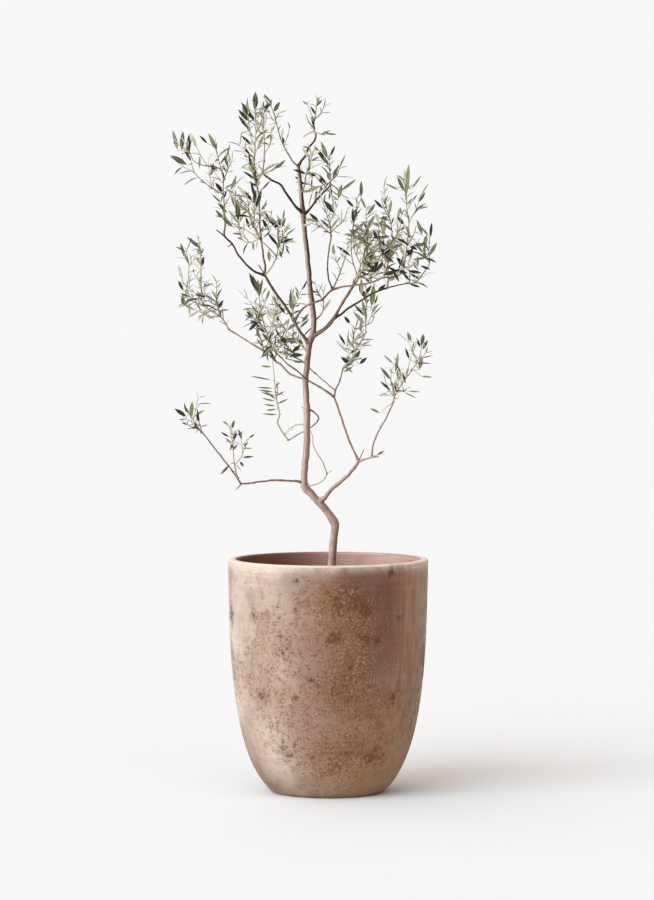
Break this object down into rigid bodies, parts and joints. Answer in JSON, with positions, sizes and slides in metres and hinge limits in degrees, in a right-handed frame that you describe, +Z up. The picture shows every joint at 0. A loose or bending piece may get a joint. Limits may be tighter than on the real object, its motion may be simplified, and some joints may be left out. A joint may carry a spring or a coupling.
{
  "type": "potted olive tree",
  "caption": "Young olive tree with a slender bent trunk and an open, airy crown, standing in soil in a tall rounded stoneware pot.",
  "frame": {"origin": "middle of the pot's flat underside", "axes": "+Z up along the pot's axis, +X to the right and -Y towards the front"},
  "size_m": [0.5416, 0.4392, 1.4121],
  "materials": {
    "stoneware": "matt pinkish brown stoneware with rough ochre and brown patches",
    "soil": "dark crumbly potting soil",
    "bark": "smooth light brown young bark with small knots",
    "foliage": "grey-green leaves, paler below"
  },
  "bodies": {
    "root": {"pot": "stoneware", "soil": "soil", "trunk": "bark", "leader": "bark", "left-upper-bough": "bark", "right-upper-bough": "bark", "right-main-bough": "bark", "right-outer-bough": "bark", "left-main-bough": "bark", "left-main-arm": "bark", "crossing-bough": "bark", "right-front-bough": "bark", "inner-riser": "bark", "left-arm": "bark", "left-upright": "bark", "left-top-bough": "bark", "right-low-bough": "bark", "right-riser": "bark", "right-mid-bough": "bark", "long-left-bough": "bark", "long-left-arm": "bark", "upper-left-bough": "bark", "hidden-twig": "bark", "right-low-arm": "bark", "right-low-riser": "bark", "loop-twig": "bark", "left-low-bough": "bark", "left-low-arm": "bark", "back-right-bough": "bark", "leaves-top": "foliage", "leaves-top-left": "foliage", "leaves-front-top": "foliage", "leaves-left-upper": "foliage", "leaves-right-upper": "foliage", "leaves-right-core": "foliage", "leaves-right-middle": "foliage", "leaves-right-front": "foliage", "leaves-right-outer": "foliage", "leaves-right-back": "foliage", "leaves-right-inner": "foliage", "leaves-inner-low": "foliage", "leaves-beside-trunk": "foliage", "leaves-fork": "foliage", "leaves-left-high": "foliage", "leaves-left-top": "foliage", "leaves-left-centre": "foliage", "leaves-left-inner": "foliage", "leaves-left-far": "foliage", "leaves-front-left": "foliage", "leaves-mid-left": "foliage", "leaves-behind-trunk": "foliage", "leaves-right-mid": "foliage", "leaves-right-low": "foliage", "leaves-low-right": "foliage", "leaves-loop": "foliage", "leaves-left-low-tip": "foliage", "leaves-left-low": "foliage", "leaves-back-right": "foliage", "leaves-back-left": "foliage", "bare-twig": "bark"}
  },
  "joints": []
}
